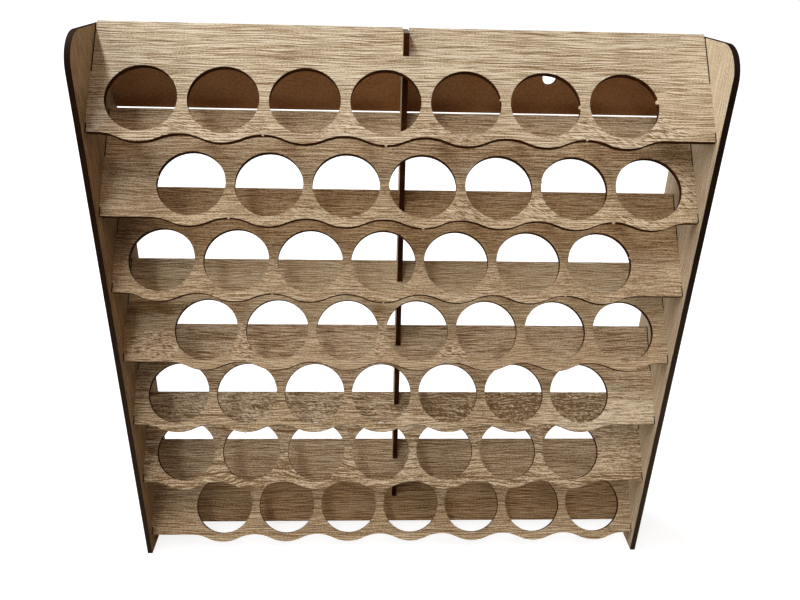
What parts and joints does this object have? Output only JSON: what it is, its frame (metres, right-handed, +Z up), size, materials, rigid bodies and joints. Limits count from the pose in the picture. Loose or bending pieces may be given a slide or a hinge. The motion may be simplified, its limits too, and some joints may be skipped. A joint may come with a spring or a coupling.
{
  "type": "paint rack",
  "caption": "Free-standing or wall-hung rack of tilted slotted board shelves with round holes that hold craft paint pots.",
  "frame": {"origin": "on the floor under the middle of the rack", "axes": "+Z up; the open, wavy front faces -Y; +X to the right seen from the front"},
  "size_m": [0.319, 0.0544, 0.3186],
  "materials": {
    "oak_faced_board": "oak decor laminate on hardboard, matt, laser-cut edges burnt dark",
    "raw_faced_board": "the same board with its raw brown side to the front"
  },
  "bodies": {
    "root": {"left_side_panel": "oak_faced_board", "right_side_panel": "oak_faced_board", "centre_rib": "oak_faced_board", "bottom_support_strip": "oak_faced_board", "shelf_1": "oak_faced_board", "shelf_2": "oak_faced_board", "shelf_3": "oak_faced_board", "shelf_4": "oak_faced_board", "shelf_5": "oak_faced_board", "shelf_6": "oak_faced_board", "shelf_7": "oak_faced_board", "back_panel": "raw_faced_board"}
  },
  "joints": []
}
